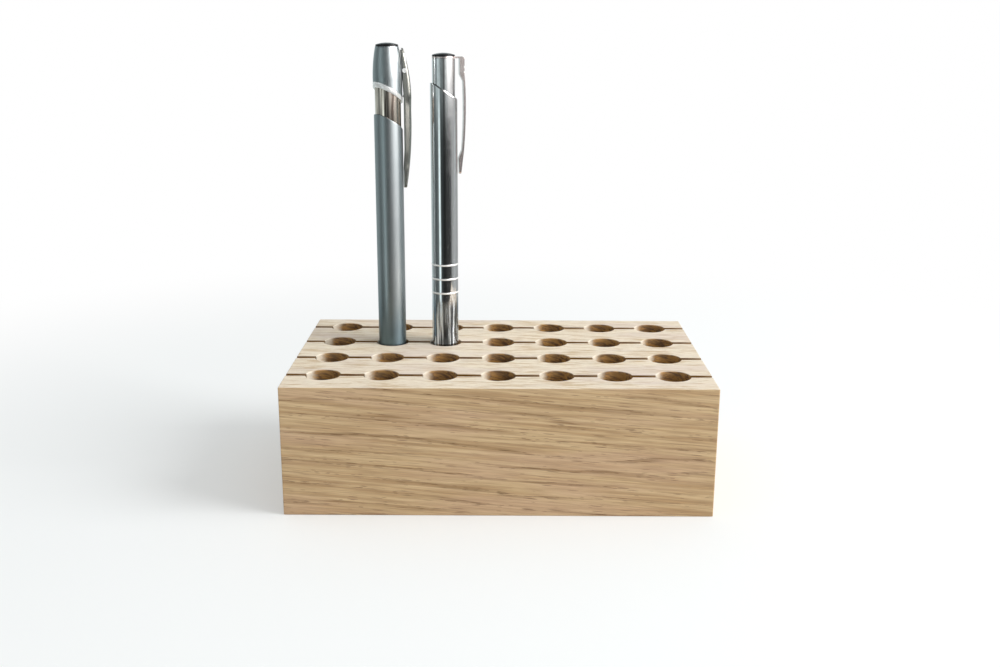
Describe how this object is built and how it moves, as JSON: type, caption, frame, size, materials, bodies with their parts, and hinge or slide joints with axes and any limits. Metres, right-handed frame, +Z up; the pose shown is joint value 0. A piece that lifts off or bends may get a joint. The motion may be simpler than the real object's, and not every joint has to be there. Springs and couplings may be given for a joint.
{
  "type": "pen stand",
  "caption": "Solid wooden block pen stand with rows of blind holes joined by saw kerfs, holding metal press pens with clips.",
  "frame": {"origin": "centre of the block's bottom face", "axes": "+X along the rows to the right, +Y from the front to the back, +Z up"},
  "size_m": [0.15, 0.0924, 0.1593],
  "materials": {
    "oak": "sanded, oiled",
    "grey_metal": "satin",
    "chrome": "polished",
    "black_plastic": "gloss",
    "white_plastic": "matt",
    "steel": "satin",
    "brass": "turned"
  },
  "bodies": {
    "stand": {"stand_block": "oak"},
    "grey_pen": {"grey_pen_barrel": "grey_metal", "grey_pen_nose_cone": "chrome", "grey_pen_collar": "chrome", "grey_pen_cam_sleeve": "white_plastic", "grey_pen_return_spring": "steel"},
    "grey_pen_cap": {"grey_pen_cap": "grey_metal", "grey_pen_trim_ring": "chrome", "grey_pen_top_plug": "black_plastic", "grey_pen_clip_bracket": "chrome", "grey_pen_clip_pin": "chrome", "grey_pen_clip_spring": "steel", "grey_pen_plunger": "white_plastic"},
    "grey_pen_clip": {"grey_pen_clip": "chrome"},
    "grey_pen_refill": {"grey_pen_refill_tube": "steel", "grey_pen_refill_tip": "brass", "grey_pen_writing_ball": "steel", "grey_pen_cam_rotor": "white_plastic"},
    "chrome_pen": {"chrome_pen_barrel": "chrome", "chrome_pen_barrel_rings": "chrome", "chrome_pen_nose_cone": "chrome", "chrome_pen_cam_sleeve": "white_plastic", "chrome_pen_return_spring": "steel"},
    "chrome_pen_head": {"chrome_pen_head": "chrome", "chrome_pen_top_plug": "black_plastic", "chrome_pen_clip": "chrome", "chrome_pen_plunger": "white_plastic"},
    "chrome_pen_refill": {"chrome_pen_refill_tube": "steel", "chrome_pen_refill_tip": "brass", "chrome_pen_writing_ball": "steel", "chrome_pen_cam_rotor": "white_plastic"}
  },
  "joints": [
    {"name": "grey_pen_lift", "type": "slide", "parent": "stand", "child": "grey_pen", "axis": [0, 0, 1], "range_m": [0, 0.04]},
    {"name": "grey_pen_press", "type": "slide", "parent": "grey_pen", "child": "grey_pen_cap", "axis": [0, 0, -1], "range_m": [0, 0.0045], "stiffness_N_per_m": 400, "springref_m": -0.003},
    {"name": "grey_pen_refill_feed", "type": "slide", "parent": "grey_pen", "child": "grey_pen_refill", "axis": [0, 0, -1], "range_m": [0, 0.0045], "deforming": ["grey_pen_return_spring"]},
    {"name": "chrome_pen_lift", "type": "slide", "parent": "stand", "child": "chrome_pen", "axis": [0, 0, 1], "range_m": [0, 0.04]},
    {"name": "chrome_pen_press", "type": "slide", "parent": "chrome_pen", "child": "chrome_pen_head", "axis": [0, 0, -1], "range_m": [0, 0.0045], "stiffness_N_per_m": 400, "springref_m": -0.003},
    {"name": "chrome_pen_refill_feed", "type": "slide", "parent": "chrome_pen", "child": "chrome_pen_refill", "axis": [0, 0, -1], "range_m": [0, 0.0045], "deforming": ["chrome_pen_return_spring"]},
    {"name": "grey_pen_clip_pivot", "type": "hinge", "parent": "grey_pen_cap", "child": "grey_pen_clip", "pos_m": [-0.03529, 0.01296, 0.1495], "axis": [0.1736, -0.9848, 0], "range_deg": [0, 3], "stiffness_Nm_per_rad": 0.3, "springref_deg": -2.86}
  ],
  "couplings": [
    {"joint": "grey_pen_refill_feed", "follows": "grey_pen_press", "ratio": 1},
    {"joint": "chrome_pen_refill_feed", "follows": "chrome_pen_press", "ratio": 1}
  ]
}
